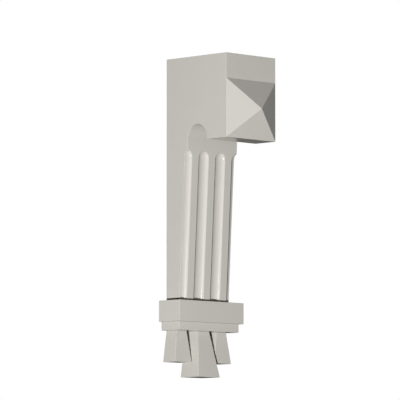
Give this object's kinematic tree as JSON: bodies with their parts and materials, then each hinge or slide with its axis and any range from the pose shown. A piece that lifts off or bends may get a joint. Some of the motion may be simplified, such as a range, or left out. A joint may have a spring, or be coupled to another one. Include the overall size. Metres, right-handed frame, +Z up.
{
  "type": "architectural bracket",
  "caption": "Wall bracket with a square head, diamond-point boss, round arch, fluted battered shaft, stepped collar and flared drops.",
  "frame": {"origin": "On the flat back that lies against the wall, at the middle of the width, level with the underside of the head's hanging front", "axes": "+X across the bracket, to the right of someone who faces its front; +Y out of the back, into the wall; +Z up"},
  "size_m": [0.195, 0.2123, 0.6819],
  "materials": {
    "painted_timber": "light warm grey satin paint, brushed or sprayed smooth over timber, no grain showing"
  },
  "bodies": {
    "root": {"body": "painted_timber", "diamond_boss": "painted_timber", "collar_band": "painted_timber", "collar_fillet": "painted_timber", "drop_left": "painted_timber", "drop_centre": "painted_timber", "drop_right": "painted_timber"}
  },
  "joints": []
}
